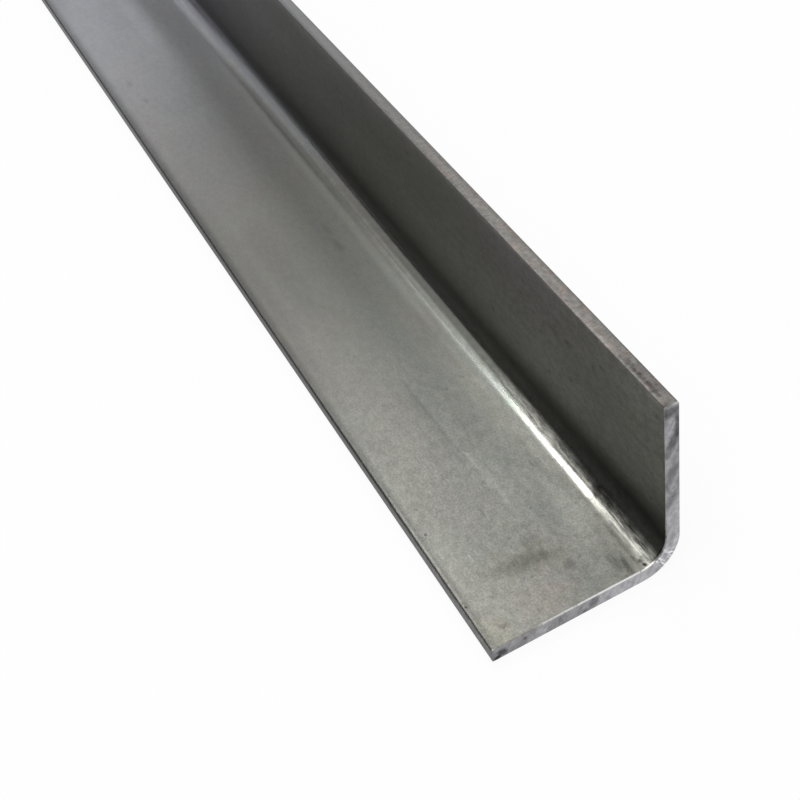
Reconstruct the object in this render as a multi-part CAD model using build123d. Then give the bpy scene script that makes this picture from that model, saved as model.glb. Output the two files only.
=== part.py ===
from build123d import *
import os

# Metal angle section: one strip of plain steel, press-bent along its length into two equal legs.
# X runs along the bar, one leg lies on Z = 0 and the other stands on the +Y side.
# The origin is the middle of the bar's footprint, at floor level.

# Driving dimensions, in millimetres and degrees
LENGTH = 1000.0            # bar length, measured along the tip of the flat leg
FLAT_LEG = 40.0            # flat leg, from its tip to the outer face of the upright leg
UPRIGHT_LEG = 40.0         # upright leg, from the floor to its top edge
THICKNESS = 3.0            # strip thickness, the same all round the bend
INSIDE_BEND_RADIUS = 5.0   # left in the inside corner by the press tool
SLIT_EDGE_ROUNDING = 0.3   # break on the slit edges of the strip
SAW_ANGLE = 3.5            # how far the sawn end at +X runs out of square

TIP_Y = -FLAT_LEG / 2
HEEL_Y = FLAT_LEG / 2


def strip_section() -> Sketch:
    """Section of the bent strip: its outer line, offset inwards by the strip's thickness."""
    with BuildSketch(Plane.YZ) as section:
        with BuildLine():
            outer_line = FilletPolyline(
                (TIP_Y, 0),
                (HEEL_Y, 0),
                (HEEL_Y, UPRIGHT_LEG),
                radius=INSIDE_BEND_RADIUS + THICKNESS,
            )
            offset(outer_line, amount=THICKNESS, side=Side.LEFT)
        make_face()
        flat_tip = section.vertices().group_by(Axis.X)[0]
        upright_tip = section.vertices().group_by(Axis.Y)[-1]
        fillet(flat_tip + upright_tip, radius=SLIT_EDGE_ROUNDING)
    return section.sketch


def sawn_end() -> Plane:
    """Plane of the saw cut at +X, which leans back from the flat leg's tip to the heel."""
    return Plane(origin=(LENGTH / 2, TIP_Y, 0), z_dir=Vector(1, 0, 0).rotate(Axis.Z, SAW_ANGLE))


def angle_bar() -> Part:
    """The bar: its section drawn out along X, one thickness too long, then sawn to length."""
    strip = extrude(Pos(X=-LENGTH / 2) * strip_section(), amount=LENGTH + THICKNESS)
    return split(strip, bisect_by=sawn_end(), keep=Keep.BOTTOM)


os.makedirs("parts", exist_ok=True)
export_step(angle_bar(), "parts/angle_bar.step")
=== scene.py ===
"""Dresses the metal angle section: one bar of bent mill steel, lying in a plain studio."""

import logging
import math
from dataclasses import dataclass, field
from enum import Enum
from typing import ClassVar

import bmesh
import bpy
from mathutils import Matrix, Vector, noise


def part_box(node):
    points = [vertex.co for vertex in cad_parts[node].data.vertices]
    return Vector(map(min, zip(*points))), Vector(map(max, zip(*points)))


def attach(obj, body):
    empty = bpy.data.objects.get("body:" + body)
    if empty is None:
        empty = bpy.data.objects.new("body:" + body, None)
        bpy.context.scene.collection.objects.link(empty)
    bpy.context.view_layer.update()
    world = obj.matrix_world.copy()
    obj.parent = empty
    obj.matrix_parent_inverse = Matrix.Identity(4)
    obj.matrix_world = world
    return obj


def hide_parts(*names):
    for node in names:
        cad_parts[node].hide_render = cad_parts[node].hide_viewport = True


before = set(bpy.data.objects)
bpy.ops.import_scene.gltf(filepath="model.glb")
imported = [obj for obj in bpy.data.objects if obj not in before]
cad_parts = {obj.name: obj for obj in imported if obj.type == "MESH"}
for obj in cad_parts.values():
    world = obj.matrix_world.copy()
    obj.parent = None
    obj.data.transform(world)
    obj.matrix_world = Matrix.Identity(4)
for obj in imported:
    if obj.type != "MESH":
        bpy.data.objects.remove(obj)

LOG = logging.getLogger("angle_bar")
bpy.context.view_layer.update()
NODE = "angle_bar"
BODY = "root"
STRIP_MAP = "strip"
MM = 0.001
# Across the bar, the burr is worn off on the flat leg's side of this place.
BURR_WHOLE_FROM = -10.0 * MM
# A Mix node's sockets go by number, because its values and its colours share their names.
MIX_FACTOR = 0
MIX_VALUES = (2, 3)
MIX_VALUE_OUT = 0
MIX_COLOURS = (6, 7)
MIX_COLOUR_OUT = 2

Colour = tuple[float, float, float, float]
Socket = bpy.types.NodeSocket


def grey(level: float, warm: float = 0.0, green: float = 0.0) -> Colour:
    """A metal's grey in linear light, with red warm above blue and green above the level by these shares."""
    return (level * (1 + warm / 2), level * (1 + green), level * (1 - warm / 2), 1.0)


WHITE = grey(1.0)


def new_piece(name: str, shape: bmesh.types.BMesh) -> bpy.types.Object:
    """Puts a finished shape into the scene and frees it.

    Args:
        name: The new object's name.
        shape: The shape, in the row frame.

    Returns:
        The new object.
    """
    mesh = bpy.data.meshes.new(name)
    shape.to_mesh(mesh)
    shape.free()
    piece = bpy.data.objects.new(name, mesh)
    bpy.context.scene.collection.objects.link(piece)
    return piece


def verts_of(made: list) -> list[bmesh.types.BMVert]:
    """The vertices among what an operator made."""
    return [item for item in made if isinstance(item, bmesh.types.BMVert)]


def edges_of(made: list) -> list[bmesh.types.BMEdge]:
    """The edges among what an operator made."""
    return [item for item in made if isinstance(item, bmesh.types.BMEdge)]


class Surface(Enum):
    """The kinds of surface on the bar, in the order of its material slots."""

    INSIDE = 0
    OUTSIDE = 1
    TIP_EDGE = 2
    TOP_EDGE = 3
    SAWN_END = 4
    PLAIN_END = 5
    BURR = 6


class NodeSheet:
    """A material's node tree, with one short call for each kind of node that the finishes use."""

    def __init__(self, name: str) -> None:
        """Starts an empty material with a shader and its output.

        Args:
            name: The material's name.
        """
        self.material = bpy.data.materials.new(name)
        self.material.use_nodes = True
        self.tree = self.material.node_tree
        self.shader = self.tree.nodes["Principled BSDF"]

    def node(self, kind: str, inputs: dict | None = None, **settings: object) -> bpy.types.Node:
        """Adds a node.

        Args:
            kind: The node's type name.
            inputs: What goes into its inputs, by name or number: a socket or a plain value.
            settings: The node's own settings.

        Returns:
            The new node.
        """
        made = self.tree.nodes.new(kind)
        for name, value in settings.items():
            setattr(made, name, value)
        for key, value in (inputs or {}).items():
            self.feed(made.inputs[key], value)
        return made

    def feed(self, socket: Socket, value: object) -> None:
        """Links a socket to an input, or writes a plain value on it.

        Args:
            socket: The input.
            value: An output socket, or the value.
        """
        if isinstance(value, Socket):
            self.tree.links.new(value, socket)
        else:
            socket.default_value = value

    def strip(self) -> Socket:
        """The place on the flattened strip, in metres."""
        return self.node("ShaderNodeUVMap", uv_map=STRIP_MAP).outputs[0]

    def place(self) -> Socket:
        """The place in the row frame, in metres."""
        return self.node("ShaderNodeTexCoord").outputs["Object"]

    def split(self, place: Socket) -> tuple[Socket, ...]:
        """The first two measures of a place."""
        return tuple(self.node("ShaderNodeSeparateXYZ", {0: place}).outputs[:2])

    def math(self, operation: str, first: object, second: object) -> Socket:
        """The result of a Math node's operation on two inputs."""
        return self.node("ShaderNodeMath", {0: first, 1: second}, operation=operation).outputs[0]

    def plus(self, first: object, second: object) -> Socket:
        """One value and another."""
        return self.math("ADD", first, second)

    def minus(self, first: object, second: object) -> Socket:
        """One value less another."""
        return self.math("SUBTRACT", first, second)

    def times(self, first: object, second: object) -> Socket:
        """One value times another."""
        return self.math("MULTIPLY", first, second)

    def most(self, first: object, second: object) -> Socket:
        """The larger of two values."""
        return self.math("MAXIMUM", first, second)

    def span(self, value: object, start: float, end: float, low: object = 0.0, high: object = 1.0) -> Socket:
        """Maps a value smoothly from start..end to low..high, and holds it at both ends."""
        inputs = {"Value": value, "From Min": start, "From Max": end, "To Min": low, "To Max": high}
        return self.node("ShaderNodeMapRange", inputs, interpolation_type="SMOOTHSTEP").outputs[0]

    def mix(self, factor: object, first: object, second: object, blend: str = "MIX") -> Socket:
        """Mixes two colours.

        Args:
            factor: The share of the second.
            first: The first colour.
            second: The second colour.
            blend: The way they are mixed.

        Returns:
            The colour's socket.
        """
        mixer = self.node("ShaderNodeMix", data_type="RGBA", blend_type=blend)
        for number, value in zip((MIX_FACTOR, *MIX_COLOURS), (factor, first, second)):
            self.feed(mixer.inputs[number], value)
        return mixer.outputs[MIX_COLOUR_OUT]

    def blend(self, factor: Socket, first: object, second: object) -> Socket:
        """Mixes two values. The factor is the share of the second."""
        inputs = dict(zip((MIX_FACTOR, *MIX_VALUES), (factor, first, second)))
        return self.node("ShaderNodeMix", inputs).outputs[MIX_VALUE_OUT]

    def filtered(self, colour: Socket, through: object) -> Socket:
        """One colour seen through another."""
        return self.mix(1.0, colour, through, "MULTIPLY")

    def shaded(self, colour: Socket, shade: Socket) -> Socket:
        """A colour darkened or lightened by a factor."""
        level = self.node("ShaderNodeCombineColor", {0: shade, 1: shade, 2: shade}).outputs[0]
        return self.filtered(colour, level)

    def stretched(self, place: Socket, scale: tuple[float, float, float]) -> Socket:
        """A place scaled axis by axis."""
        return self.node("ShaderNodeMapping", {"Vector": place, "Scale": scale}).outputs[0]

    def bump(self, height: object, distance: float, over: Socket | None = None) -> Socket:
        """Bends the normal by a height.

        Args:
            height: The height, from 0 to 1.
            distance: What a height of 1 stands for, in metres.
            over: The normal of an earlier bump, if any.

        Returns:
            The normal's socket.
        """
        made = self.node("ShaderNodeBump", {"Height": height, "Distance": distance, "Strength": 1.0})
        if over is not None:
            self.feed(made.inputs["Normal"], over)
        return made.outputs[0]

    def marked(self, marks: tuple["Mark", ...], place: Socket, wander: Socket) -> Socket | float:
        """Works out how much a group of marks darkens or lightens the steel.

        The marks are multiplied one after another, each as soon as it is made. A tree that makes them all
        first holds too many values at once, and then renders black.

        Args:
            marks: The marks.
            place: The place on the strip map, in metres.
            wander: A noise around 0 that makes the outlines ragged.

        Returns:
            The factor on the steel's colour.
        """
        shade = 1.0
        for mark in marks:
            shade = self.times(mark.shade(self, place, wander), shade)
        return shade

    def metal(self, colour: Socket, roughness: object, normal: Socket | None = None) -> bpy.types.Material:
        """Finishes the material as bare metal.

        Args:
            colour: The metal's colour.
            roughness: Its roughness, as a value or a socket.
            normal: Its bent normal, if any.

        Returns:
            The material.
        """
        self.feed(self.shader.inputs["Base Color"], colour)
        self.feed(self.shader.inputs["Metallic"], 1.0)
        self.feed(self.shader.inputs["Roughness"], roughness)
        if normal is not None:
            self.feed(self.shader.inputs["Normal"], normal)
        return self.material

    def matt(self, colour: Colour, roughness: float) -> bpy.types.Material:
        """Finishes the material as matt paint.

        Args:
            colour: The paint's colour.
            roughness: Its roughness.

        Returns:
            The material.
        """
        self.feed(self.shader.inputs["Base Color"], colour)
        self.feed(self.shader.inputs["Roughness"], roughness)
        self.feed(self.shader.inputs["Specular IOR Level"], 0.0)
        return self.material


@dataclass(frozen=True)
class Grain:
    """A noise in the steel. Its size, that of the largest grains, is in millimetres."""

    size: float
    detail: float
    rough: float
    stretch: tuple[float, float, float] | None = None

    def over(self, sheet: NodeSheet, place: Socket) -> Socket:
        """Lays the noise over a surface.

        Args:
            sheet: The node tree to add to.
            place: The place, in metres.

        Returns:
            The noise's value, around 0.5.
        """
        if self.stretch is not None:
            place = sheet.stretched(place, self.stretch)
        scale = 1 / (self.size * MM)
        inputs = {"Vector": place, "Scale": scale, "Detail": self.detail, "Roughness": self.rough}
        return sheet.node("ShaderNodeTexNoise", inputs).outputs[0]

    def around_zero(self, sheet: NodeSheet, place: Socket) -> Socket:
        """Lays the noise over a surface, as a value around 0."""
        return sheet.minus(self.over(sheet, place), 0.5)


@dataclass(frozen=True)
class Ramp:
    """A smooth change from low to high, while a value runs from start to end."""

    start: float
    end: float
    low: float = 0.0
    high: float = 1.0

    def over(self, sheet: NodeSheet, value: Socket) -> Socket:
        """Follows a value along the ramp."""
        return sheet.span(value, self.start, self.end, self.low, self.high)


@dataclass(frozen=True)
class Band:
    """A smooth change from low to high between two places. The places are in millimetres."""

    start: float
    end: float
    low: float = 0.0
    high: float = 1.0

    def over(self, sheet: NodeSheet, measure: Socket) -> Socket:
        """Follows a measure, in metres, across the band."""
        return sheet.span(measure, self.start * MM, self.end * MM, self.low, self.high)


@dataclass(frozen=True)
class Mark:
    """A smudge, rub, fleck or patch of painted light or shade, as an ellipse on the flattened strip or on a
    cut end. Sizes are in millimetres.

    Its tone is the factor on the steel's colour. Its outline fades between two shares of its half size, and
    the nearness that the fade is worked from falls to nothing at a third, farther out.
    """

    along: float
    across: float
    length: float
    width: float
    tone: float
    turn: float = 0.0
    ragged: float = 1.0
    whole_until: ClassVar[float] = 0.25
    gone_from: ClassVar[float] = 1.15
    reach: ClassVar[float] = 3.0

    def shade(self, sheet: NodeSheet, strip: Socket, wander: Socket) -> Socket:
        """Works out how much the mark darkens or lightens the steel.

        Args:
            sheet: The node tree to add to.
            strip: The place on the strip map, in metres.
            wander: A noise around 0 that makes the outline ragged.

        Returns:
            The factor on the steel's colour.
        """
        inputs = {
            "Vector": strip,
            "Location": (self.along * MM, self.across * MM, 0.0),
            "Rotation": (0.0, 0.0, math.radians(self.turn)),
            "Scale": (self.reach * self.length / 2 * MM, self.reach * self.width / 2 * MM, 1.0),
        }
        ellipse = sheet.node("ShaderNodeMapping", inputs, vector_type="TEXTURE").outputs[0]
        inputs = {"Vector": ellipse}
        nearness = sheet.node("ShaderNodeTexGradient", inputs, gradient_type="SPHERICAL").outputs["Fac"]
        edge = sheet.times(wander, self.ragged)
        inputs = {0: nearness, 1: -self.reach, 2: edge}
        beyond = sheet.node("ShaderNodeMath", inputs, operation="MULTIPLY_ADD").outputs[0]
        return sheet.span(beyond, self.whole_until - self.reach, self.gone_from - self.reach, self.tone, 1.0)


@dataclass(frozen=True)
class Stain:
    """A patch of another hue with a ragged outline."""

    mark: Mark
    hue: Colour

    def over(self, sheet: NodeSheet, strip: Socket, wander: Socket, under: Socket) -> Socket:
        """Lays the stain over a colour, with an outline made ragged by the wander."""
        share = sheet.minus(1.0, self.mark.shade(sheet, strip, wander))
        return sheet.mix(share, under, self.hue, "MULTIPLY")


# A mark's numbers are its place along the bar and across the strip, its length and width, its tone, its turn
# in degrees and how ragged it is. These are patches of another hue on the inside skin.
SKIN_STAINS = (
    Stain(Mark(485.0, 14.0, 9.0, 22.0, 0.0, -6.0, 1.4), (1.015, 1.0, 0.95, 1.0)),
    Stain(Mark(494.0, 14.0, 13.0, 16.0, 0.0, 0.0, 1.0), (1.05, 0.985, 0.98, 1.0)),
    Stain(Mark(496.0, 3.0, 10.0, 8.0, 0.0, 0.0, 1.0), (1.02, 1.0, 0.95, 1.0)),
    Stain(Mark(452.0, 11.0, 50.0, 13.0, 0.0, 0.0, 0.8), (1.01, 0.993, 1.0, 1.0)),
    Stain(Mark(335.0, 6.0, 250.0, 30.0, 0.0, 0.0, 0.3), (1.038, 1.0, 1.0, 1.0)),
    Stain(Mark(402.0, 3.0, 56.0, 9.0, 0.0, 0.0, 0.6), (1.025, 1.0, 1.0, 1.0)),
    Stain(Mark(485.0, 20.0, 26.0, 10.0, 0.0, 0.0, 1.2), (1.03, 1.0, 1.0, 1.0)),
    Stain(Mark(433.0, 32.8, 64.0, 5.0, 0.0, 0.0, 0.3), (0.945, 1.0, 1.0, 1.0)),
    Stain(Mark(250.0, 54.0, 130.0, 60.0, 0.0, 0.0, 0.2), (1.0, 1.0, 1.05, 1.0)),
    Stain(Mark(285.0, 36.2, 200.0, 5.0, 0.0, 0.0, 0.1), (0.99, 1.0, 1.08, 1.0)),
    Stain(Mark(300.0, 33.0, 120.0, 2.4, 0.0, 0.0, 0.1), (1.0, 1.0, 0.96, 1.0)),
    Stain(Mark(450.0, 66.0, 62.0, 26.0, 0.0, 0.0, 0.6), (1.03, 0.96, 1.05, 1.0)),
)
# Darker places on the inside skin. Some are dirt and flecks; many are painted shade: beside the bend's bright
# line, in the inside corner, the burr's shadow on the skin at the sawn end, broad patches over the flat leg
# and the wall, and shade painted over the bend's bright reflection far from the sawn end, which dims it.
SKIN_SMUDGES_AND_PAINTED_SHADE = (
    Mark(350.0, 14.0, 170.0, 70.0, 0.80, 1.0, 0.2),
    Mark(485.0, 15.0, 5.0, 17.0, 0.66, -6.0, 1.7),
    Mark(481.5, 18.5, 6.0, 5.0, 0.82, 0.0, 1.6),
    Mark(477.5, 19.4, 3.0, 3.0, 0.86, 0.0, 1.5),
    Mark(490.0, 21.3, 3.0, 2.4, 0.74, 0.0, 1.5),
    Mark(496.2, 4.5, 1.4, 2.2, 0.72),
    Mark(495.6, 30.1, 6.0, 1.6, 0.50, -3.0, 1.7),
    Mark(493.6, 28.6, 6.0, 2.2, 0.72, 0.0, 1.9),
    Mark(489.5, 32.7, 25.0, 2.4, 0.66, 0.0, 1.2),
    Mark(482.0, 33.3, 14.0, 2.0, 0.76, 0.0, 1.0),
    Mark(466.0, 33.9, 30.0, 0.7, 0.72, 0.0, 1.2),
    Mark(474.0, 34.05, 44.0, 0.35, 0.50, 0.0, 0.3),
    Mark(497.1, 32.9, 1.6, 1.1, 0.05, 20.0, 0.9),
    Mark(495.9, 32.7, 1.4, 1.2, 0.40, 0.0, 1.2),
    Mark(494.8, 31.9, 2.6, 1.0, 0.62, 0.0, 1.4),
    # Painted shadow of the burr, on the skin along the sawn end.
    Mark(497.4, 36.0, 0.9, 4.4, 0.40, 0.0, 0.5),
    Mark(490.0, 33.5, 30.0, 1.7, 0.58, 0.0, 0.9),
    Mark(474.0, 35.5, 30.0, 2.2, 0.45, 1.0, 1.6),
    Mark(478.5, 35.1, 10.0, 2.4, 0.33, 0.0, 1.6),
    # Painted shade in the inside corner and low on the wall.
    Mark(480.0, 40.5, 120.0, 12.0, 0.64, 0.0, 0.3),
    Mark(441.0, 17.5, 34.0, 1.2, 0.87, 1.0, 0.5),
    Mark(442.0, 16.6, 30.0, 3.2, 0.90, 1.0, 0.5),
    Mark(470.0, 13.5, 70.0, 10.0, 0.95, 0.0, 0.3),
    Mark(480.0, 8.5, 22.0, 8.0, 0.91, 0.0, 0.8),
    Mark(463.5, 28.5, 6.0, 2.4, 0.88, 0.0, 2.4),
    Mark(472.0, 30.5, 12.0, 1.6, 0.90, 0.0, 2.2),
    Mark(485.5, 30.2, 9.0, 2.2, 0.86, 0.0, 2.4),
    Mark(489.0, 32.9, 20.0, 2.6, 0.84, 0.0, 3.0),
    Mark(494.8, 30.6, 7.0, 1.4, 0.84, 0.0, 0.6),
    Mark(496.0, 33.6, 5.0, 1.2, 0.80, 0.0, 0.6),
    Mark(478.0, 56.0, 34.0, 8.0, 0.86, 0.0, 0.5),
    Mark(322.0, 68.0, 60.0, 14.0, 0.79, 0.0, 0.2),
    Mark(378.0, 10.0, 60.0, 9.0, 0.90, 0.0, 0.3),
    Mark(491.0, 50.0, 12.0, 10.0, 0.88, 0.0, 0.8),
    Mark(205.0, 2.5, 60.0, 8.0, 0.87, 0.0, 0.2),
    Mark(370.5, 25.3, 7.0, 2.2, 0.86, 0.0, 0.8),
    Mark(377.5, 25.0, 8.0, 2.4, 0.82, 0.0, 0.8),
    Mark(288.0, 7.5, 5.0, 1.8, 0.84, 0.0, 0.6),
    Mark(277.0, 6.5, 5.0, 1.8, 0.86, 0.0, 0.6),
    Mark(460.0, 61.8, 4.0, 2.4, 0.66, 0.0, 1.4),
    Mark(465.0, 62.4, 4.0, 2.0, 0.55, 20.0, 1.4),
    Mark(398.5, 67.3, 3.0, 1.8, 0.66, 20.0, 0.8),
    Mark(474.0, 50.0, 10.0, 10.0, 0.82, 0.0, 1.6),
    Mark(380.0, 68.0, 130.0, 26.0, 0.76, 0.0, 0.3),
    Mark(462.0, 7.0, 44.0, 9.0, 0.95, 0.0, 0.4),
    Mark(472.0, 59.0, 24.0, 12.0, 0.89, 0.0, 0.4),
    # Painted shade over the bend's bright reflection and beside it, in these four marks.
    Mark(235.0, 33.2, 70.0, 2.2, 0.72, 0.0, 0.1),
    Mark(486.0, 34.9, 26.0, 2.2, 0.60, 0.0, 0.9),
    Mark(330.0, 33.1, 190.0, 3.0, 0.38, 0.0, 0.3),
    Mark(395.0, 35.1, 130.0, 2.2, 0.70, 0.0, 0.5),
    Mark(385.0, 2.5, 120.0, 8.0, 0.86, 0.0, 0.3),
    Mark(280.0, 0.9, 250.0, 4.2, 0.79, 0.0, 0.1),
)
# Paler places on the inside skin. Some are rubbed or pressed; many are painted light: a painted bright line
# along the bend's highlight near the sawn end, painted sheen in the streaky band below the highlight and
# along the bend, and broad paler patches.
SKIN_RUBS_AND_PAINTED_LIGHT = (
    Mark(480.0, 28.6, 22.0, 6.5, 1.30, 0.0, 1.4),
    Mark(463.0, 19.2, 26.0, 2.6, 1.10, 1.0, 0.9),
    Mark(456.0, 18.7, 8.0, 0.9, 1.14, 5.0, 0.9),
    Mark(465.0, 19.7, 13.0, 1.4, 1.12, -3.0, 1.3),
    Mark(262.0, 21.0, 70.0, 16.0, 1.12, 0.0, 0.2),
    Mark(454.2, 18.6, 2.6, 0.5, 1.35, 28.0, 0.3),
    Mark(479.0, 6.9, 5.0, 0.4, 1.20, 0.0, 0.4),
    # A painted highlight: a thin bright line along the bend's bright reflection.
    Mark(489.0, 33.5, 22.0, 0.7, 1.70, 0.8, 0.6),
    Mark(448.0, 30.0, 62.0, 8.0, 1.24, 0.0, 0.4),
    Mark(430.0, 31.1, 420.0, 3.4, 1.20, 0.0, 0.4),
    Mark(466.0, 21.5, 34.0, 7.0, 1.12, 0.0, 0.5),
    Mark(212.0, 34.0, 90.0, 50.0, 1.18, 0.0, 0.2),
    # Painted sheen along the bend and in the streaky band below its bright line, in these three marks.
    Mark(330.0, 36.3, 175.0, 1.3, 1.95, 0.0, 0.1),
    Mark(458.0, 35.95, 44.0, 1.0, 1.70, 0.0, 0.3),
    Mark(461.0, 34.75, 46.0, 1.3, 1.80, 0.0, 0.5),
    Mark(474.0, 0.55, 50.0, 0.7, 1.38, 0.0, 0.3),
    Mark(494.0, 67.0, 34.0, 18.0, 1.28, 0.0, 0.4),
    Mark(240.0, 20.5, 70.0, 7.0, 1.18, 0.0, 0.2),
    Mark(443.0, 34.9, 16.0, 1.6, 1.30, 0.0, 0.5),
    Mark(398.0, 30.4, 46.0, 3.2, 1.12, 0.0, 0.3),
)
# Fine scratches, nicks and pits in the inside skin.
SKIN_SCRATCHES = (
    Mark(483.6, 6.2, 2.4, 0.3, 0.60, 0.0, 0.3),
    Mark(471.5, 14.0, 8.0, 0.35, 0.80, -1.0, 0.4),
    Mark(458.2, 11.8, 3.0, 0.35, 0.80, 0.0, 0.4),
    Mark(450.0, 9.7, 8.0, 0.4, 0.88, 1.0, 0.5),
    Mark(473.5, 13.6, 6.0, 0.35, 0.86, 0.0, 0.5),
    Mark(479.5, 10.2, 12.0, 0.35, 0.91, 0.0, 0.6),
    Mark(496.0, 11.6, 4.0, 0.4, 0.86, 0.0, 0.5),
    Mark(480.0, 16.0, 12.0, 0.35, 1.07, 1.0, 0.6),
    Mark(485.6, 34.4, 4.6, 0.35, 2.00, 0.0, 0.5),
    Mark(490.6, 34.2, 1.8, 0.50, 1.70, 0.0, 0.9),
    Mark(484.8, 35.8, 2.8, 0.40, 2.20, 0.0, 0.5),
    Mark(488.0, 35.3, 8.0, 0.50, 0.55, 0.0, 0.6),
    Mark(494.2, 34.1, 4.4, 0.60, 1.35, 0.0, 0.9),
    Mark(474.0, 34.5, 9.0, 0.60, 1.50, 0.0, 1.4),
    Mark(474.0, 22.3, 0.9, 0.8, 0.64, 0.0, 0.5),
    Mark(469.5, 2.3, 0.9, 0.8, 0.36, 0.0, 0.3),
    Mark(489.0, 0.8, 0.9, 0.6, 0.36, 30.0, 0.3),
)
# Marks on the slit edges. They are placed along the bar, then by their depth below the inside skin.
TIP_EDGE_MARKS = (
    Mark(441.0, 0.3, 62.0, 1.9, 0.42, 0.0, 1.2),
    Mark(366.0, 1.3, 170.0, 5.6, 0.42, 0.0, 0.4),
    Mark(440.0, 1.2, 80.0, 4.0, 0.70, 0.0, 0.6),
    Mark(250.0, 1.2, 90.0, 5.0, 0.84, 0.0, 0.4),
    Mark(494.0, 0.5, 20.0, 1.4, 1.40, 0.0, 0.8),
)
TOP_EDGE_MARKS = (
    Mark(492.0, 1.0, 14.0, 1.3, 0.50, 0.0, 2.6),
    Mark(485.0, 1.1, 5.0, 1.8, 0.60, 0.0, 2.0),
    Mark(489.5, 2.0, 15.0, 2.6, 0.76, 0.0, 1.2),
    Mark(420.0, 2.5, 180.0, 1.1, 0.84, 0.0, 0.8),
    Mark(360.0, 1.5, 150.0, 9.0, 0.80, 0.0, 0.2),
    Mark(375.0, 0.2, 230.0, 1.6, 0.74, 0.0, 0.4),
    Mark(498.0, 0.3, 5.0, 1.6, 0.50, 0.0, 0.5),
    Mark(476.5, 0.6, 2.0, 0.8, 1.35, 0.0, 0.8),
    Mark(325.0, 0.4, 60.0, 1.8, 0.84, 0.0, 0.4),
    Mark(490.0, 0.1, 24.0, 0.9, 0.72, 0.0, 0.8),
    Mark(400.0, 2.8, 150.0, 0.8, 1.26, 0.0, 0.3),
)
# Marks on the sawn end. They are placed by their depth below the inside skin, then across the strip.
SAWN_SMUDGES = (
    Mark(1.8, 2.2, 2.2, 2.6, 0.24, -25.0, 1.2),
    Mark(2.6, 1.1, 1.2, 1.8, 0.12, 0.0, 0.8),
    Mark(1.3, 6.9, 1.0, 1.0, 0.42, 0.0, 0.6),
    Mark(1.4, 14.1, 3.0, 1.2, 0.64, -10.0, 1.0),
    Mark(1.3, 21.4, 3.6, 2.6, 0.60, -20.0, 1.9),
    Mark(2.5, 19.3, 1.2, 1.6, 0.56, 0.0, 1.0),
    Mark(1.1, 49.3, 6.5, 2.2, 0.62, 60.0, 0.9),
    Mark(1.4, 55.4, 8.0, 2.6, 0.56, 62.0, 0.9),
    Mark(1.7, 63.4, 9.0, 2.6, 0.40, 68.0, 0.9),
    Mark(1.5, 70.4, 5.0, 3.2, 0.38, 15.0, 0.7),
    Mark(1.2, 0.1, 5.5, 1.9, 0.56, 0.0, 0.9),
    Mark(2.7, 66.6, 1.7, 8.0, 0.48, 0.0, 0.6),
    Mark(0.4, 52.4, 1.3, 4.4, 0.66, 25.0, 0.7),
    Mark(0.3, 60.6, 1.3, 3.0, 0.72, 25.0, 0.7),
    Mark(2.5, 37.8, 1.9, 6.4, 1.40, 0.0, 0.4),
    Mark(1.0, 39.6, 3.0, 3.6, 0.74, 0.0, 0.8),
    Mark(2.3, 42.0, 1.8, 5.0, 0.86, 0.0, 0.6),
    Mark(0.2, 69.4, 1.2, 6.0, 0.72, 0.0, 0.5),
    Mark(0.3, 71.2, 1.0, 1.8, 0.66, 0.0, 0.4),
    Mark(2.6, 68.2, 1.2, 1.8, 0.66, 0.0, 0.6),
    Mark(2.3, 71.4, 1.9, 0.9, 1.42, 0.0, 0.4),
)


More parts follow.
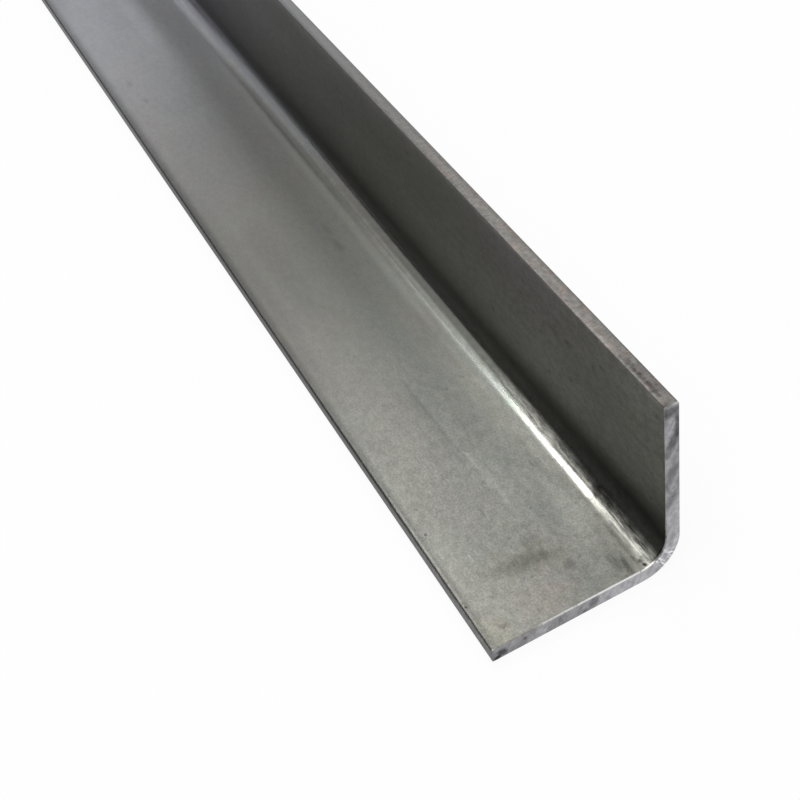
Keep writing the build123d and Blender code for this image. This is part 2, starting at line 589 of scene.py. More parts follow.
@dataclass(frozen=True)
class InsideSkin:
    """The strip's inside face: rolled skin with a sandy grain, burnished in the bend by the press tool."""

    name: str = "inside_skin"
    # Its hue, and the cast that it takes on far from the sawn end and close to it.
    warm: Colour = grey(0.224, 0.12, 0.011)
    cool: Colour = grey(0.220, 0.064, 0.025)
    green: Colour = grey(0.222, 0.09, 0.039)
    clouds: Grain = Grain(14.0, 4, 0.6, (0.3, 1.0, 1.0))
    cool_share: Ramp = Ramp(0.36, 0.64)
    patches: Grain = Grain(5.0, 4, 0.65, (0.5, 1.0, 1.3))
    green_share: Ramp = Ramp(0.45, 0.62)
    far_cast: Colour = (0.962, 0.973, 1.07, 1.0)
    close_cast: Colour = (1.0, 1.028, 1.0, 1.0)
    cast_share: Band = Band(220.0, 400.0)
    # Its unevenness, from fine sand to soft blotches, and where along the bar and on the wall it is coarser.
    wander: Grain = Grain(3.0, 4, 0.65)
    sand: Grain = Grain(0.45, 3, 0.75)
    sand_tone: float = 1.4
    sand_pressed: Ramp = Ramp(0.0, 1.0, 1.0, 0.5)
    blotches: Grain = Grain(6.0, 4, 0.6, (0.6, 1.0, 1.0))
    blotch_tone: Ramp = Ramp(0.3, 0.7, -0.052, 0.052)
    specks: Grain = Grain(1.5, 3, 0.6, (0.7, 1.0, 1.0))
    speck_tone: Ramp = Ramp(0.3, 0.7, -0.115, 0.115)
    flecks: Grain = Grain(2.3, 2, 0.4)
    fleck_tone: Ramp = Ramp(0.66, 0.76, 0.0, -0.24)
    coarse_close: Band = Band(400.0, 465.0, 0.4, 1.0)
    coarse_far: Band = Band(0.0, 200.0, 1.0, 0.4)
    wall_from: tuple[float, float] = (38.0 * MM, 44.0 * MM)
    wall_coarser: float = 0.65
    # Its tone across the strip: a darker band along the flat leg's tip, and painted light and shade: lighter
    # from the flat leg into the bend, painted shade over the upright leg's inner face, darkest in the inside
    # corner and lighter towards the top of the wall. The bend's bands drift towards the flat leg, the farther
    # from the sawn end.
    tip_band: Band = Band(0.4, 2.3, 0.60, 1.0)
    painted_light_and_shade: tuple[Band, ...] = (
        Band(22.0, 31.5, 1.0, 1.85),
        Band(34.6, 36.5, 1.0, 0.22),
        Band(42.5, 56.0, 1.0, 1.44),
    )
    bend_drift: Band = Band(200.0, 500.0, 2.1 * MM, 0.0)
    # The line that the press tool left in the bend: where it is, worn, fresh and keen, and its scores.
    press_begins: Band = Band(32.0, 32.8)
    press_ends: Band = Band(35.2, 36.6, 1.0, 0.0)
    worn: Band = Band(477.0, 486.0, 1.0, 0.35)
    worn_ragged: float = 22.0 * MM
    fresh: Band = Band(280.0, 460.0, 0.3, 1.0)
    keen: Band = Band(422.0, 452.0)
    streaks: Grain = Grain(0.4, 3, 0.7, (0.11, 1.0, 1.0))
    streak_tone: Ramp = Ramp(0.3, 0.7, 0.30, 1.50)
    scored: Band = Band(33.3, 34.3, 0.35, 1.0)
    pitted: Band = Band(477.0, 486.0, 0.3, 2.4)
    pit_depth: float = 0.008 * MM
    ridge_height: float = 0.014 * MM
    roughness: float = 0.36
    burnished: float = 0.16

    def material(self) -> bpy.types.Material:
        """Builds the finish.

        Returns:
            The material.
        """
        sheet = NodeSheet(self.name)
        strip = sheet.strip()
        along, across = sheet.split(strip)
        wander = self.wander.around_zero(sheet, strip)
        sand = self.sand.over(sheet, strip)
        # Dirt, rubs and scratches, with painted light and shade among them.
        shade = sheet.marked(SKIN_SMUDGES_AND_PAINTED_SHADE + SKIN_RUBS_AND_PAINTED_LIGHT + SKIN_SCRATCHES, strip, wander)
        hue = self.tint(sheet, strip)
        for stain in SKIN_STAINS:
            hue = stain.over(sheet, strip, wander, hue)
        tip = self.tip_band.over(sheet, across)
        coarse = self.coarse_close.over(sheet, along)
        coarse = sheet.most(coarse, self.coarse_far.over(sheet, along))
        across = sheet.minus(across, self.bend_drift.over(sheet, along))
        pressed = sheet.times(self.press_begins.over(sheet, across), self.press_ends.over(sheet, across))
        grit = sheet.times(sheet.minus(sand, 0.5), coarse)
        grit = sheet.times(grit, self.sand_pressed.over(sheet, pressed))
        burnish = sheet.times(pressed, self.kept(sheet, along, wander))
        streaks = self.streaks.over(sheet, strip)
        shade = sheet.times(shade, sheet.plus(sheet.times(grit, self.sand_tone), 1.0))
        uneven = sheet.span(across, *self.wall_from, coarse, sheet.plus(coarse, self.wall_coarser))
        shade = sheet.times(shade, self.mottle(sheet, strip, uneven))
        shade = sheet.times(shade, tip)
        # Painted light and shade across the strip, band by band.
        for band in self.painted_light_and_shade:
            shade = sheet.times(shade, band.over(sheet, across))
        lines = self.streak_tone.over(sheet, streaks)
        keen = self.keen.over(sheet, along)
        scored = sheet.times(pressed, keen)
        scored = sheet.times(scored, self.scored.over(sheet, across))
        shade = sheet.times(shade, sheet.blend(scored, 1.0, lines))
        colour = sheet.shaded(hue, shade)
        cast = sheet.mix(self.cast_share.over(sheet, along), self.far_cast, self.close_cast)
        colour = sheet.filtered(colour, cast)
        rough = sheet.span(burnish, 0.0, 1.0, self.roughness, self.burnished)
        deep = sheet.times(keen, self.pitted.over(sheet, along))
        relief = sheet.span(pressed, 0.0, 1.0, 1.0, deep)
        pits = sheet.times(sheet.minus(sand, 0.5), relief)
        normal = sheet.bump(sheet.plus(pits, 0.5), self.pit_depth)
        normal = sheet.bump(sheet.times(streaks, scored), self.ridge_height, over=normal)
        return sheet.metal(colour, rough, normal)

    def tint(self, sheet: NodeSheet, strip: Socket) -> Socket:
        """The skin's hue, which drifts between warm, cool and faintly green.

        Args:
            sheet: The node tree to add to.
            strip: The place on the flattened strip.

        Returns:
            The colour's socket.
        """
        clouds = self.clouds.over(sheet, strip)
        patches = self.patches.over(sheet, strip)
        colour = sheet.mix(self.cool_share.over(sheet, clouds), self.warm, self.cool)
        return sheet.mix(self.green_share.over(sheet, patches), colour, self.green)

    def mottle(self, sheet: NodeSheet, strip: Socket, coarse: Socket) -> Socket:
        """The skin's uneven tone: soft blotches, small ones among them and a few dark flecks.

        Args:
            sheet: The node tree to add to.
            strip: The place on the flattened strip.
            coarse: How coarse the skin is, as the factor on its unevenness.

        Returns:
            The factor on the skin's colour.
        """
        blotches = self.blotches.over(sheet, strip)
        specks = self.specks.over(sheet, strip)
        flecks = self.flecks.over(sheet, strip)
        tone = sheet.plus(self.blotch_tone.over(sheet, blotches), self.speck_tone.over(sheet, specks))
        tone = sheet.plus(tone, self.fleck_tone.over(sheet, flecks))
        return sheet.plus(sheet.times(tone, coarse), 1.0)

    def kept(self, sheet: NodeSheet, along: Socket, wander: Socket) -> Socket:
        """How much of the burnish is left: worn dull where the saw gripped the bar, fainter far back.

        Args:
            sheet: The node tree to add to.
            along: The distance along the bar.
            wander: A noise around 0 that makes the worn edge ragged.

        Returns:
            The share that is left, from 0 to 1.
        """
        drift = sheet.plus(along, sheet.times(wander, self.worn_ragged))
        worn = self.worn.over(sheet, drift)
        return sheet.times(worn, self.fresh.over(sheet, along))


@dataclass(frozen=True)
class OutsideSkin:
    """The strip's outside face: plain rolled skin."""

    name: str = "outside_skin"
    dark: Colour = grey(0.24, 0.02, 0.01)
    pale: Colour = grey(0.30, 0.02, 0.01)
    clouds: Grain = Grain(24.0, 5, 0.6, (0.25, 1.0, 1.0))
    pale_share: Ramp = Ramp(0.3, 0.7)
    sand: Grain = Grain(0.5, 3, 0.7)
    sand_tone: Ramp = Ramp(0.2, 0.8, 0.86, 1.14)
    sand_depth: float = 0.006 * MM
    roughness: float = 0.4

    def material(self) -> bpy.types.Material:
        """Builds the finish.

        Returns:
            The material.
        """
        sheet = NodeSheet(self.name)
        strip = sheet.strip()
        clouds = self.clouds.over(sheet, strip)
        sand = self.sand.over(sheet, strip)
        colour = sheet.mix(self.pale_share.over(sheet, clouds), self.dark, self.pale)
        colour = sheet.shaded(colour, self.sand_tone.over(sheet, sand))
        return sheet.metal(colour, self.roughness, sheet.bump(sand, self.sand_depth))


@dataclass(frozen=True)
class SlitEdge:
    """A slit edge of the strip: fine short scores and patches of light rust."""

    name: str
    steel: Colour
    rust: Colour
    olive: Colour
    rust_share: Ramp
    olive_share: Ramp
    lump_tone: Ramp
    score_tone: Ramp
    marks: tuple[Mark, ...]
    wander: Grain = Grain(1.5, 3, 0.6)
    patches: Grain = Grain(1.8, 4, 0.65, (0.4, 1.0, 1.0))
    lumps: Grain = Grain(1.3, 3, 0.65, (0.6, 1.0, 1.0))
    scores: Grain = Grain(0.5, 3, 0.7, (1.0, 0.4, 1.0))
    score_depth: float = 0.01 * MM
    coarse: Band = Band(330.0, 440.0, 0.2, 1.0)
    far_cast: Colour = (0.975, 1.0, 1.05, 1.0)
    cast_share: Band = Band(330.0, 440.0)
    roughness: float = 0.45

    def material(self) -> bpy.types.Material:
        """Builds the finish.

        Returns:
            The material.
        """
        sheet = NodeSheet(self.name)
        strip = sheet.strip()
        along = sheet.split(strip)[0]
        coarse = self.coarse.over(sheet, along)
        wander = self.wander.around_zero(sheet, strip)
        patches = self.patches.over(sheet, strip)
        lumps = self.lumps.over(sheet, strip)
        scores = self.scores.over(sheet, strip)
        rusted = sheet.times(self.rust_share.over(sheet, patches), coarse)
        colour = sheet.mix(rusted, self.steel, self.rust)
        dulled = sheet.times(self.olive_share.over(sheet, patches), coarse)
        colour = sheet.mix(dulled, colour, self.olive)
        tone = sheet.plus(self.lump_tone.over(sheet, lumps), self.score_tone.over(sheet, scores))
        shade = sheet.plus(sheet.times(tone, coarse), 1.0)
        shade = sheet.times(shade, sheet.marked(self.marks, strip, wander))
        colour = sheet.shaded(colour, shade)
        cast = sheet.mix(self.cast_share.over(sheet, along), self.far_cast, WHITE)
        colour = sheet.filtered(colour, cast)
        return sheet.metal(colour, self.roughness, sheet.bump(scores, self.score_depth))


@dataclass(frozen=True)
class SawnEnd:
    """A sawn end: bare steel with slanting bands and fine lines left by the blade."""

    name: str
    marks: tuple[Mark, ...] = ()
    bare: Colour = grey(0.350, -0.04, -0.03)
    dulled: Colour = grey(0.250, -0.03, -0.02)
    slant: float = math.radians(62.0)
    bands: Grain = Grain(3.6, 3, 0.6, (1.0, 0.16, 1.0))
    bare_share: Ramp = Ramp(0.36, 0.60)
    lines: Grain = Grain(0.5, 2, 0.6, (1.0, 0.08, 1.0))
    line_tone: Ramp = Ramp(0.3, 0.7, 0.90, 1.10)
    line_depth: float = 0.02 * MM
    mottle: Grain = Grain(1.3, 3, 0.7)
    mottle_tone: Ramp = Ramp(0.25, 0.75, 0.76, 1.24)
    # Painted light: the end lighter from halfway across the flat leg through the bend, darker again up the
    # upright leg.
    sheen_rise: Band = Band(18.0, 30.0, 1.0, 1.25)
    fades: Band = Band(46.0, 56.0, 1.0, 0.78)
    scuffs: Grain = Grain(0.35, 2, 0.6, (0.14, 1.0, 1.0))
    scuff_tone: Ramp = Ramp(0.45, 0.65, 0.0, 1.1)
    scuffs_begin: Band = Band(34.0, 35.0)
    scuffs_end: Band = Band(37.0, 38.0, 1.0, 0.0)
    wander: Grain = Grain(1.5, 3, 0.6)
    roughness: float = 0.38

    def material(self) -> bpy.types.Material:
        """Builds the finish.

        Returns:
            The material.
        """
        sheet = NodeSheet(self.name)
        place = sheet.place()
        strip = sheet.strip()
        across = sheet.split(strip)[1]
        inputs = {"Vector": place, "Rotation": (-self.slant, 0.0, 0.0)}
        blade = sheet.node("ShaderNodeMapping", inputs).outputs[0]
        bands = self.bands.over(sheet, blade)
        lines = self.lines.over(sheet, blade)
        mottle = self.mottle.over(sheet, place)
        colour = sheet.mix(self.bare_share.over(sheet, bands), self.dulled, self.bare)
        shade = sheet.times(self.line_tone.over(sheet, lines), self.mottle_tone.over(sheet, mottle))
        # Painted light across the end.
        shade = sheet.times(shade, self.painted_sheen(sheet, across))
        shade = sheet.times(shade, self.scuffed(sheet, strip, across))
        wander = self.wander.around_zero(sheet, place)
        shade = sheet.times(shade, sheet.marked(self.marks, strip, wander))
        colour = sheet.shaded(colour, shade)
        return sheet.metal(colour, self.roughness, sheet.bump(lines, self.line_depth))

    def painted_sheen(self, sheet: NodeSheet, across: Socket) -> Socket:
        """Painted light on the sawn end: lighter from halfway across the flat leg through the bend, and
        darker again up the upright leg, for how the end reflects the studio.
        """
        return sheet.times(self.sheen_rise.over(sheet, across), self.fades.over(sheet, across))

    def scuffed(self, sheet: NodeSheet, strip: Socket, across: Socket) -> Socket:
        """Fine bright scuffs through the thickness, in the first half of the bend.

        Args:
            sheet: The node tree to add to.
            strip: The place on the strip map.
            across: The distance across the strip.

        Returns:
            The factor on the steel's colour.
        """
        inside = sheet.times(self.scuffs_begin.over(sheet, across), self.scuffs_end.over(sheet, across))
        bright = self.scuff_tone.over(sheet, self.scuffs.over(sheet, strip))
        return sheet.plus(sheet.times(inside, bright), 1.0)


@dataclass(frozen=True)
class FreshBurr:
    """The thin lip that the blade left: bright, freshly torn steel, worn off towards the flat leg's tip."""

    name: str = "fresh_burr"
    bright: Colour = grey(0.90, 0.02)
    torn: Colour = grey(0.42, 0.03)
    worn: Colour = grey(0.30, 0.08, 0.01)
    tears: Grain = Grain(1.1, 3, 0.6)
    bright_share: Ramp = Ramp(0.34, 0.44)
    whole_edge: float = 1.0 * MM
    scraps: Ramp = Ramp(0.52, 0.62, 0.0, 0.25)
    # Its tone across the bar: lighter on the flat leg, painted shade from the steep part of the bend up the
    # wall and over the top edge's inner side, and lighter again towards the top edge's outside.
    bands: tuple[Band, ...] = (
        Band(-9.0, 7.0, 0.74, 1.1),
        Band(14.0, 15.0, 1.0, 0.26),
        Band(17.8, 19.8, 1.0, 2.6),
    )
    roughness: float = 0.35

    def material(self) -> bpy.types.Material:
        """Builds the finish.

        Returns:
            The material.
        """
        sheet = NodeSheet(self.name)
        place = sheet.place()
        y = sheet.split(place)[1]
        tears = self.tears.over(sheet, place)
        colour = sheet.mix(self.bright_share.over(sheet, tears), self.torn, self.bright)
        whole = sheet.span(y, BURR_WHOLE_FROM - self.whole_edge, BURR_WHOLE_FROM + self.whole_edge)
        left = self.scraps.over(sheet, tears)
        shade = self.bands[0].over(sheet, y)
        for band in self.bands[1:]:
            shade = sheet.times(shade, band.over(sheet, y))
        colour = sheet.shaded(colour, shade)
        colour = sheet.mix(sheet.most(whole, left), self.worn, colour)
        return sheet.metal(colour, self.roughness)


FINISHES = {
    Surface.INSIDE: InsideSkin(),
    Surface.OUTSIDE: OutsideSkin(),
    # The tip edge's steel is painted far darker than the top edge's: painted shade on the slit edge that
    # faces sideways.
    Surface.TIP_EDGE: SlitEdge(
        name="tip_edge_painted_shade",
        steel=grey(0.100, 0.02),
        rust=grey(0.104, 0.14, -0.02),
        olive=grey(0.095, 0.10, 0.02),
        rust_share=Ramp(0.46, 0.60, 0.0, 0.6),
        olive_share=Ramp(0.44, 0.34, 0.0, 0.6),
        lump_tone=Ramp(0.3, 0.7, -0.22, 0.22),
        score_tone=Ramp(0.2, 0.8, -0.55, 0.55),
        marks=TIP_EDGE_MARKS,
    ),
    Surface.TOP_EDGE: SlitEdge(
        name="top_edge",
        steel=grey(0.243, 0.10, 0.01),
        rust=grey(0.243, 0.22, -0.02),
        olive=grey(0.225, 0.20, 0.05),
        rust_share=Ramp(0.46, 0.60, 0.0, 1.0),
        olive_share=Ramp(0.44, 0.34, 0.0, 1.0),
        lump_tone=Ramp(0.3, 0.7, -0.16, 0.16),
        score_tone=Ramp(0.2, 0.8, -0.28, 0.28),
        marks=TOP_EDGE_MARKS,
    ),
    Surface.SAWN_END: SawnEnd("sawn_end", SAWN_SMUDGES),
    Surface.PLAIN_END: SawnEnd("plain_end"),
    Surface.BURR: FreshBurr(),
}


@dataclass
class AngleBar:
    """The bent strip: two equal legs, a round bend between them and a sawn end."""

    thickness: float = 3.0 * MM
    inside_radius: float = 5.0 * MM
    tip_roll: float = 0.5 * MM
    top_roll: float = 0.4 * MM
    roll_segments: int = 6
    edge_rounding: float = 0.3 * MM
    rounding_segments: int = 3
    saw_angle: float = math.radians(3.5)
    layers: tuple[float, ...] = (0.5 * MM, 0.7 * MM, 0.7 * MM, 1.1 * MM)
    edge_cell: float = 1.2 * MM
    leg_cells: int = 24
    bend_cells: int = 16
    rings: int = 320
    ring_crowding: float = 1.4
    burr_width: float = 0.23 * MM
    burr_segments: int = 2
    burr_height: float = 0.05 * MM
    burr_least: float = 0.2
    burr_until: float = 46.0 * MM
    coarse_tear: float = 1.3 * MM
    fine_tear: float = 0.4 * MM
    fine_tear_share: float = 0.5
    merge_within: float = 0.001 * MM
    square_on: float = 0.7
    corner_from: float = math.radians(80)
    low: Vector = field(default_factory=lambda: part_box(NODE)[0])
    high: Vector = field(default_factory=lambda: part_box(NODE)[1])
    bend_y: float = field(init=False)
    bend_z: float = field(init=False)

    def __post_init__(self) -> None:
        """Works out where the bend begins, from the bar's box."""
        outside_radius = self.inside_radius + self.thickness
        self.bend_y = self.high.y - outside_radius
        self.bend_z = self.low.z + outside_radius

    def reach(self, y: float) -> float:
        """How far the sawn end is from the plain end, at a place across the bar."""
        return self.high.x - self.low.x - math.tan(self.saw_angle) * (y - self.low.y)

    def developed(self, place: Vector) -> float:
        """Measures along the inside face, from the flat leg's tip.

        Args:
            place: A place on the bar.

        Returns:
            The distance across the flattened strip.
        """
        flat = self.bend_y - self.low.y
        arc = self.inside_radius * math.pi / 2
        if place.y <= self.bend_y:
            return place.y - self.low.y
        if place.z >= self.bend_z:
            return flat + arc + place.z - self.bend_z
        return flat + self.inside_radius * math.atan2(place.y - self.bend_y, self.bend_z - place.z)

    def depth(self, place: Vector) -> float:
        """Measures through the thickness, from the inside face.

        Args:
            place: A place on the bar.

        Returns:
            The depth below the inside face.
        """
        if place.y <= self.bend_y:
            return self.low.z + self.thickness - place.z
        if place.z >= self.bend_z:
            return place.y - self.high.y + self.thickness
        return math.hypot(place.y - self.bend_y, place.z - self.bend_z) - self.inside_radius

    def draw_out(self, shape: bmesh.types.BMesh, edges: list, way: Vector, steps: list[float]) -> list:
        """Extrudes a row of edges along a straight way, step by step.

        Args:
            shape: The shape that grows.
            edges: The row's edges.
            way: The way's direction.
            steps: The length of each step.

        Returns:
            The last row's edges.
        """
        for step in steps:
            made = bmesh.ops.extrude_edge_only(shape, edges=edges)["geom"]
            bmesh.ops.translate(shape, vec=way * step, verts=verts_of(made))
            edges = edges_of(made)
        return edges

    def section(self) -> bmesh.types.BMesh:
        """Grows the section as a grid: a line through the thickness, drawn out, bent and drawn up.

        Returns:
            The section, at the bar's plain end.
        """
        shape = bmesh.new()
        tip = shape.verts.new((self.low.x, self.low.y, self.low.z))
        row = []
        for layer in self.layers:
            made = bmesh.ops.extrude_vert_indiv(shape, verts=[tip])
            tip = made["verts"][0]
            tip.co.z += layer
            row += made["edges"]
        plain = (self.bend_y - self.low.y - self.edge_cell) / self.leg_cells
        row = self.draw_out(shape, row, Vector((0, 1, 0)), [self.edge_cell] + [plain] * self.leg_cells)
        turned = bmesh.ops.spin(
            shape,
            geom=row,
            cent=(self.low.x, self.bend_y, self.bend_z),
            axis=(1, 0, 0),
            angle=math.pi / 2,
            steps=self.bend_cells,
        )["geom_last"]
        self.draw_out(shape, edges_of(turned), Vector((0, 0, 1)), [plain] * self.leg_cells + [self.edge_cell])
        self.merge_doubles(shape)
        return shape

    def merge_doubles(self, shape: bmesh.types.BMesh) -> None:
        """Joins vertices that lie in one place."""
        bmesh.ops.remove_doubles(shape, verts=shape.verts, dist=self.merge_within)

    def round_corners(self, shape: bmesh.types.BMesh) -> None:
        """Rounds the long corners of both slit edges, most where the slitter drew the skin over.

        Args:
            shape: The bar, still without rings.
        """
        for is_drawn, reach in ((self.is_tip_inside, self.tip_roll), (self.is_top_inside, self.top_roll)):
            drawn = [e for e in shape.edges if self.is_slit_corner(e) and is_drawn(e)]
            self.bevel(shape, drawn, reach, self.roll_segments)
        sharp = [e for e in shape.edges if self.is_slit_corner(e)]
        self.bevel(shape, sharp, self.edge_rounding, self.rounding_segments)

    def bevel(self, shape: bmesh.types.BMesh, edges: list, offset: float, segments: int) -> list:
        """Rounds edges.

        Args:
            shape: The shape they are on.
            edges: The edges.
            offset: How far the rounding reaches on each side.
            segments: How many faces it has.

        Returns:
            The rounding's faces.
        """
        return bmesh.ops.bevel(
            shape,
            geom=edges,
            offset=offset,
            segments=segments,
            profile=0.5,
            affect="EDGES",
            material=-1,
        )["faces"]

    def shape(self) -> bmesh.types.BMesh:
        """Draws the section out, rounds the slit edges, cuts the bar into rings and roughs up the sawn end.

        Returns:
            The whole bar.
        """
        shape = self.section()
        made = bmesh.ops.extrude_face_region(shape, geom=shape.faces[:])["geom"]
        far = verts_of(made)
        bmesh.ops.translate(shape, vec=(self.high.x - self.low.x, 0, 0), verts=far)
        slant = Matrix.Identity(4)
        slant[0][1] = -math.tan(self.saw_angle)
        bmesh.ops.transform(shape, matrix=slant, space=Matrix.Translation((0, -self.low.y, 0)), verts=far)
        bmesh.ops.recalc_face_normals(shape, faces=shape.faces)
        self.round_corners(shape)
        long_edges = [e for e in shape.edges if self.is_long(e)]
        bmesh.ops.subdivide_edges(shape, edges=long_edges, cuts=self.rings - 1, use_grid_fill=True)
        self.crowd_rings(shape)
        self.sort_faces(shape)
        self.raise_burr(shape)
        self.merge_doubles(shape)
        bmesh.ops.recalc_face_normals(shape, faces=shape.faces)
        self.map_strip(shape)
        return shape

    def crowd_rings(self, shape: bmesh.types.BMesh) -> None:
        """Moves the rings towards the sawn end, where the detail is.

        Args:
            shape: The bar, with rings at even steps.
        """
        for vert in shape.verts:
            reach = self.reach(vert.co.y)
            ring = round(self.rings * (1 - (vert.co.x - self.low.x) / reach))
            vert.co.x = self.low.x + reach * (1 - (ring / self.rings) ** self.ring_crowding)

    def sort_faces(self, shape: bmesh.types.BMesh) -> None:
        """Gives every face its surface and its shading.

        Args:
            shape: The bar.
        """
        for face in shape.faces:
            surface = self.surface(face)
            face.material_index = surface.value
            face.smooth = surface not in (Surface.SAWN_END, Surface.PLAIN_END)

    def surface(self, face: bmesh.types.BMFace) -> Surface:
        """Finds which surface of the bar a face lies on.

        Args:
            face: The face.

        Returns:
            Its surface.
        """
        centre = face.calc_center_median()
        if abs(face.normal.x) > self.square_on:
            return Surface.SAWN_END if centre.x > 0 else Surface.PLAIN_END
        if face.normal.y < -self.square_on and centre.y < self.low.y + self.edge_cell:
            return Surface.TIP_EDGE
        if face.normal.z > self.square_on and centre.z > self.high.z - self.edge_cell:
            return Surface.TOP_EDGE
        return Surface.INSIDE if self.depth(centre) < self.thickness / 2 else Surface.OUTSIDE

    def raise_burr(self, shape: bmesh.types.BMesh) -> None:
        """Turns up a thin ragged lip where the blade came through.

        Args:
            shape: The bar, with its faces sorted.
        """
        rim = [e for e in shape.edges if self.is_burred(e)]
        faces = self.bevel(shape, rim, self.burr_width, self.burr_segments)
        for face in faces:
            face.material_index = Surface.BURR.value
            face.smooth = True
        burr = set(faces)
        crest = [v for v in shape.verts if v.link_faces and all(f in burr for f in v.link_faces)]
        for vert in crest:
            if vert.co.z < self.bend_z and vert.co.y > BURR_WHOLE_FROM:
                tear = noise.noise(vert.co / self.coarse_tear)
                tear += self.fine_tear_share * noise.noise(vert.co / self.fine_tear)
                vert.co.z += self.burr_height * max(self.burr_least, 1.0 + tear)

    def map_strip(self, shape: bmesh.types.BMesh) -> None:
        """Lays the UV map that flattens the strip, in metres.

        On the skins it is the place along the bar and across the strip. A cut end has the depth below the
        inside skin in place of the first, and a slit edge has it in place of the second.

        Args:
            shape: The finished bar.
        """
        layer = shape.loops.layers.uv.new(STRIP_MAP)
        cuts = (Surface.SAWN_END.value, Surface.PLAIN_END.value)
        slits = (Surface.TIP_EDGE.value, Surface.TOP_EDGE.value)
        for face in shape.faces:
            for loop in face.loops:
                place = loop.vert.co
                first = self.depth(place) if face.material_index in cuts else place.x
                second = self.depth(place) if face.material_index in slits else self.developed(place)
                loop[layer].uv = (first, second)

    def is_long(self, edge: bmesh.types.BMEdge) -> bool:
        """True for an edge that runs the bar's whole length."""
        return edge.calc_length() > (self.high.x - self.low.x) / 2

    def is_slit_corner(self, edge: bmesh.types.BMEdge) -> bool:
        """True for a long edge at the square corner of a slit edge."""
        return self.is_long(edge) and edge.calc_face_angle(0.0) > self.corner_from

    def is_tip_inside(self, edge: bmesh.types.BMEdge) -> bool:
        """True for the inside corner of the flat leg's tip."""
        place = edge.verts[0].co
        return place.y < self.bend_y and place.z > self.low.z + self.thickness / 2

    def is_top_inside(self, edge: bmesh.types.BMEdge) -> bool:
        """True for the inside corner of the upright leg's top."""
        place = edge.verts[0].co
        return place.z > self.bend_z and place.y < self.high.y - self.thickness / 2

    def is_burred(self, edge: bmesh.types.BMEdge) -> bool:
        """Says whether the saw left a burr on an edge.

        Args:
            edge: An edge of the bar.

        Returns:
            True for the sawn end's edges along the top, the flat leg's inside and the bend's inside.
        """
        kinds = {face.material_index for face in edge.link_faces}
        if kinds == {Surface.SAWN_END.value, Surface.TOP_EDGE.value}:
            return True
        is_low = self.developed(edge.verts[0].co) < self.burr_until
        return is_low and kinds == {Surface.SAWN_END.value, Surface.INSIDE.value}

    def build(self) -> bpy.types.Object:
        """Makes the bar, dresses it and puts it in place of the CAD node.

        Returns:
            The finished piece.
        """
        bar = new_piece("angle_bar_steel", self.shape())
        for surface in Surface:
            bar.data.materials.append(FINISHES[surface].material())
        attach(bar, BODY)
        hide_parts(NODE)
        return bar


@dataclass(frozen=True)
class MainCamera:
    """The main view: from above the sawn end, along the open side of the bar."""

    place: Vector = Vector((658.69, -83.95, 219.75)) * MM
    azimuth: float = math.radians(70.85)
    elevation: float = math.radians(42.24)
    roll: float = math.radians(-9.51)
    lens_mm: float = 70.66
    clip_start: float = 10.0 * MM

    def build(self) -> bpy.types.Object:
        """Makes the camera and sets it as the scene's.

        Returns:
            The camera's object.
        """
        data = bpy.data.cameras.new("main_camera")
        data.lens = self.lens_mm
        data.clip_start = self.clip_start
        camera = bpy.data.objects.new("main_camera", data)
        bpy.context.scene.collection.objects.link(camera)
        turn = Matrix.Rotation(self.azimuth, 4, "Z") @ Matrix.Rotation(math.pi / 2 - self.elevation, 4, "X")
        camera.matrix_world = Matrix.Translation(self.place) @ turn @ Matrix.Rotation(self.roll, 4, "Z")
        bpy.context.scene.camera = camera
        return camera


@dataclass(frozen=True)
class Card:
    """A flat card that stands in the studio and shows only in reflections."""

    name: str
    centre: Vector
    facing: Vector
    width: float
    height: float
    level: float

    def build(self) -> bpy.types.Object:
        """Makes the card.

        Returns:
            The card's object.
        """
        shell = bmesh.new()
        bmesh.ops.create_grid(shell, x_segments=1, y_segments=1, size=0.5)
        bmesh.ops.scale(shell, vec=(self.width, self.height, 1.0), verts=shell.verts)
        turn = self.facing.to_track_quat("Z", "Y").to_matrix().to_4x4()
        bmesh.ops.transform(shell, matrix=Matrix.Translation(self.centre) @ turn, verts=shell.verts)
        card = new_piece(self.name, shell)
        card.data.materials.append(NodeSheet(self.name).matt(grey(self.level), 1.0))
        card.visible_camera = False
        card.visible_shadow = False
        card.visible_diffuse = False
        return card


@dataclass(frozen=True)
class Softbox:
    """A soft rectangular lamp."""

    name: str
    place: Vector
    aim: Vector
    width: float
    height: float
    radiance: float
    tint: Vector = Vector((1.0, 1.0, 1.0))

    def build(self) -> bpy.types.Object:
        """Makes the lamp.

        Returns:
            The lamp's object.
        """
        data = bpy.data.lights.new(self.name, "AREA")
        data.shape = "RECTANGLE"
        data.size = self.width
        data.size_y = self.height
        data.color = self.tint
        data.energy = self.radiance * math.pi * self.width * self.height
        lamp = bpy.data.objects.new(self.name, data)
        bpy.context.scene.collection.objects.link(lamp)
        turn = (self.place - self.aim).to_track_quat("Z", "Y").to_matrix().to_4x4()
        lamp.matrix_world = Matrix.Translation(self.place) @ turn
        return lamp


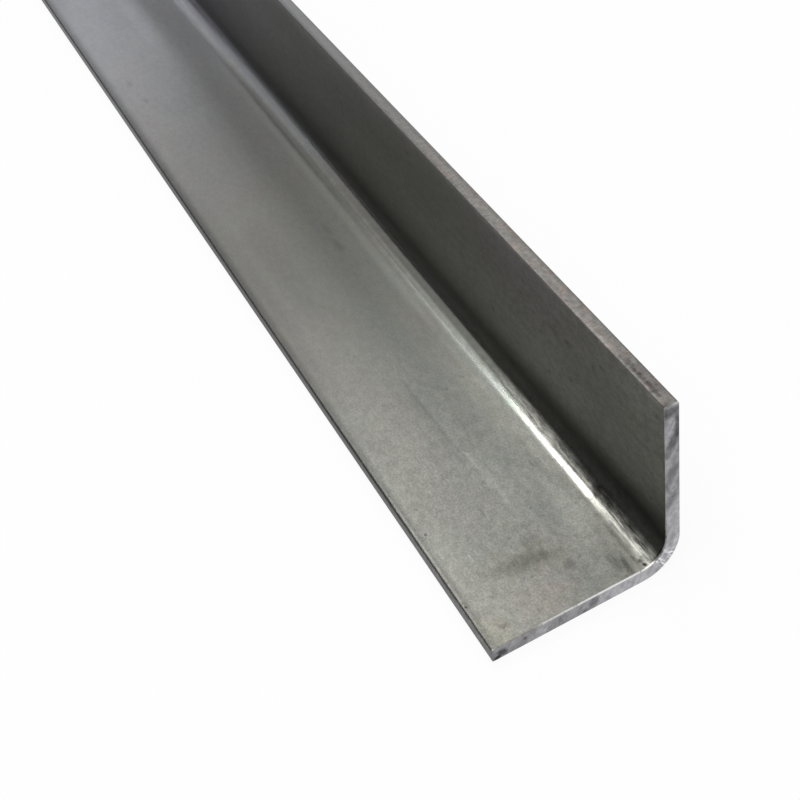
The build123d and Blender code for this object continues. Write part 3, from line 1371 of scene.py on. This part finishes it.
@dataclass(frozen=True)
class Studio:
    """A pale floor, an even surround, three softboxes, and two cards on the bar's open side."""

    floor_size: float = 20.0
    floor_colour: Colour = grey(0.94)
    floor_roughness: float = 0.9
    floor_glow: float = 0.90
    surround: float = 0.55
    softboxes: tuple[Softbox, ...] = (
        Softbox(
            name="key",
            place=Vector((-0.95, -0.05, 2.06)),
            aim=Vector((0.48, 0.0, 0.0)),
            width=1.5,
            height=0.62,
            radiance=3.9,
        ),
        Softbox(
            name="top",
            place=Vector((1.4, -0.4, 2.6)),
            aim=Vector((0.6, 0.0, 0.0)),
            width=2.2,
            height=2.0,
            radiance=2.0,
        ),
        Softbox(
            name="fill",
            place=Vector((-3.0, 0.6, 1.4)),
            aim=Vector((0.2, 0.0, 0.0)),
            width=1.6,
            height=1.1,
            radiance=1.5,
            tint=Vector((0.86, 0.93, 1.0)),
        ),
    )
    cards: tuple[Card, ...] = (
        Card(
            name="dark_card",
            centre=Vector((-5.1, -3.0, 0.74)),
            facing=Vector((0.0, 1.0, 0.0)),
            width=7.8,
            height=1.48,
            level=0.03,
        ),
        Card(
            name="grey_screen",
            centre=Vector((-3.0, -2.0, 2.66)),
            facing=Vector((0.0, 1.0, 0.0)),
            width=7.0,
            height=3.28,
            level=0.75,
        ),
    )

    def build(self) -> bpy.types.Object:
        """Makes the floor, the surround, the softboxes and the cards.

        Returns:
            The floor's object.
        """
        shell = bmesh.new()
        bmesh.ops.create_grid(shell, x_segments=1, y_segments=1, size=self.floor_size / 2)
        floor = new_piece("floor", shell)
        floor.data.materials.append(self.floor_paint())
        self.light_surround()
        for softbox in self.softboxes:
            softbox.build()
        for card in self.cards:
            card.build()
        return floor

    def floor_paint(self) -> bpy.types.Material:
        """Builds the floor's matt paint, which the camera and the steel see a little whiter than it is lit.

        Returns:
            The material.
        """
        sheet = NodeSheet("floor_paint")
        paint = sheet.matt(self.floor_colour, self.floor_roughness)
        path = sheet.node("ShaderNodeLightPath").outputs
        seen = sheet.most(path["Is Camera Ray"], path["Is Glossy Ray"])
        seen = sheet.most(seen, path["Is Transmission Ray"])
        white = sheet.node("ShaderNodeEmission", {"Color": WHITE, "Strength": 1.0}).outputs[0]
        share = sheet.times(seen, self.floor_glow)
        both = sheet.node("ShaderNodeMixShader", {0: share, 1: sheet.shader.outputs[0], 2: white}).outputs[0]
        sheet.feed(sheet.tree.nodes["Material Output"].inputs["Surface"], both)
        return paint

    def light_surround(self) -> None:
        """Lights the world evenly."""
        world = bpy.data.worlds.new("surround")
        world.use_nodes = True
        light = world.node_tree.nodes["Background"]
        light.inputs["Color"].default_value = WHITE
        light.inputs["Strength"].default_value = self.surround
        bpy.context.scene.world = world


def main() -> None:
    """Builds the camera, the studio and the bar."""
    logging.basicConfig(level=logging.INFO, format="%(message)s")
    bpy.context.scene.view_settings.view_transform = "Standard"
    camera = MainCamera().build()
    LOG.info("%s: %.1f mm lens", camera.name, camera.data.lens)
    floor = Studio().build()
    LOG.info("%s: %d faces", floor.name, len(floor.data.polygons))
    bar = AngleBar().build()
    LOG.info("%s: %d faces", bar.name, len(bar.data.polygons))


if __name__ == "__main__":
    main()
